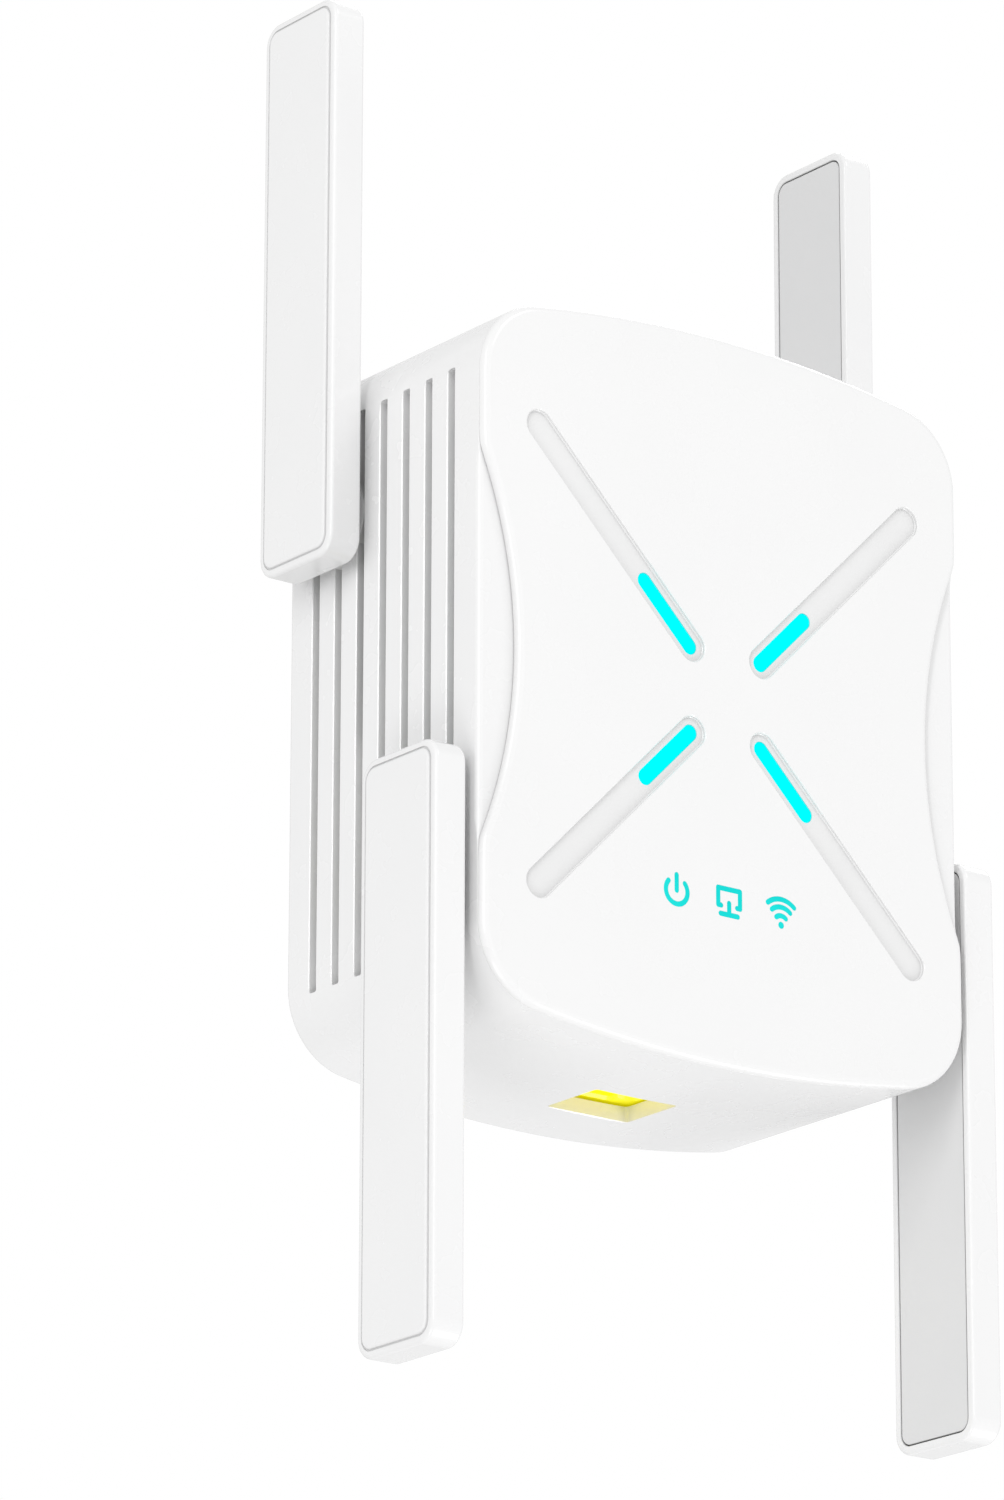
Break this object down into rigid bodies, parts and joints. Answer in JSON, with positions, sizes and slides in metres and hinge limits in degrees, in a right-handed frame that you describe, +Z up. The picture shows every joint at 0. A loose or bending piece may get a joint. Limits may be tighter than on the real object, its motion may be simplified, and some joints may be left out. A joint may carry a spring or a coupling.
{
  "type": "wifi range extender",
  "caption": "Plug-in wifi range extender: crowned white housing, X-shaped light pattern, side vents, network socket underneath and folding flat antennas on both sides.",
  "frame": {"origin": "centre of the rear face, which lies against the wall", "axes": "+Y out of the rear face into the wall, -Y is the front with the lights, +Z up along the upper antennas, +X to the right seen from the front"},
  "size_m": [0.0878, 0.057, 0.1768],
  "materials": {
    "white_shell": "satin gloss",
    "white_panel": "satin gloss",
    "white_satin": "fine texture",
    "grey_satin": "fine texture",
    "cyan_light": "translucent, lit",
    "yellow_socket": "moulded",
    "dark_plastic": "moulded",
    "circuit_board": "solder mask",
    "label_film": "printed film, blank",
    "cable_jacket": "smooth",
    "nickel_plate": "plated",
    "tin_plate": "plain",
    "contact_gold": "plated",
    "aluminium": "extruded"
  },
  "bodies": {
    "base": {"main_housing": "white_shell", "front_panel": "white_panel", "rear_cover": "white_satin", "light_bar_upper_left": "cyan_light", "light_bar_upper_right": "cyan_light", "light_bar_lower_left": "cyan_light", "light_bar_lower_right": "cyan_light", "icon_light_pipe": "cyan_light", "led_board": "circuit_board", "main_board": "circuit_board", "rf_shield": "tin_plate", "heatsink": "aluminium", "rj45_jack": "yellow_socket", "rj45_contacts": "contact_gold", "power_board": "circuit_board", "transformer": "dark_plastic", "capacitor_left": "dark_plastic", "capacitor_right": "dark_plastic", "power_link_header": "dark_plastic", "pin_carrier": "grey_satin", "rating_label": "label_film", "wps_switch": "dark_plastic", "plug_pin_left": "nickel_plate", "plug_pin_right": "nickel_plate", "cover_screw_upper_left": "nickel_plate", "cover_screw_upper_right": "nickel_plate", "cover_screw_lower_left": "nickel_plate", "cover_screw_lower_right": "nickel_plate", "coax_upper_left": "cable_jacket", "coax_upper_right": "cable_jacket", "coax_lower_left": "cable_jacket", "coax_lower_right": "cable_jacket"},
    "button": {"wps_button": "white_satin"},
    "antenna_upper_left": {"antenna_upper_left_shell": "white_shell", "antenna_upper_left_cover": "grey_satin", "antenna_upper_left_stub": "white_satin", "antenna_upper_left_clip": "nickel_plate", "antenna_upper_left_element": "circuit_board", "antenna_upper_left_cable": "cable_jacket"},
    "antenna_upper_right": {"antenna_upper_right_shell": "white_shell", "antenna_upper_right_cover": "grey_satin", "antenna_upper_right_stub": "white_satin", "antenna_upper_right_clip": "nickel_plate", "antenna_upper_right_element": "circuit_board", "antenna_upper_right_cable": "cable_jacket"},
    "antenna_lower_left": {"antenna_lower_left_shell": "white_shell", "antenna_lower_left_cover": "grey_satin", "antenna_lower_left_stub": "white_satin", "antenna_lower_left_clip": "nickel_plate", "antenna_lower_left_element": "circuit_board", "antenna_lower_left_cable": "cable_jacket"},
    "antenna_lower_right": {"antenna_lower_right_shell": "white_shell", "antenna_lower_right_cover": "grey_satin", "antenna_lower_right_stub": "white_satin", "antenna_lower_right_clip": "nickel_plate", "antenna_lower_right_element": "circuit_board", "antenna_lower_right_cable": "cable_jacket"}
  },
  "joints": [
    {"name": "antenna_upper_left_hinge", "type": "hinge", "parent": "base", "child": "antenna_upper_left", "pos_m": [-0.039, -0.0095, 0.0231], "axis": [-1, 0, 0], "range_deg": [-10, 180]},
    {"name": "antenna_upper_right_hinge", "type": "hinge", "parent": "base", "child": "antenna_upper_right", "pos_m": [0.039, -0.0095, 0.0231], "axis": [-1, 0, 0], "range_deg": [-10, 180]},
    {"name": "antenna_lower_left_hinge", "type": "hinge", "parent": "base", "child": "antenna_lower_left", "pos_m": [-0.039, -0.0312, -0.0201], "axis": [-1, 0, 0], "range_deg": [-10, 180]},
    {"name": "antenna_lower_right_hinge", "type": "hinge", "parent": "base", "child": "antenna_lower_right", "pos_m": [0.039, -0.0312, -0.0201], "axis": [-1, 0, 0], "range_deg": [-10, 180]},
    {"name": "wps_button_slide", "type": "slide", "parent": "base", "child": "button", "axis": [0, 0, -1], "range_m": [0, 0.0005], "stiffness_N_per_m": 400, "springref_m": -0.0003}
  ]
}
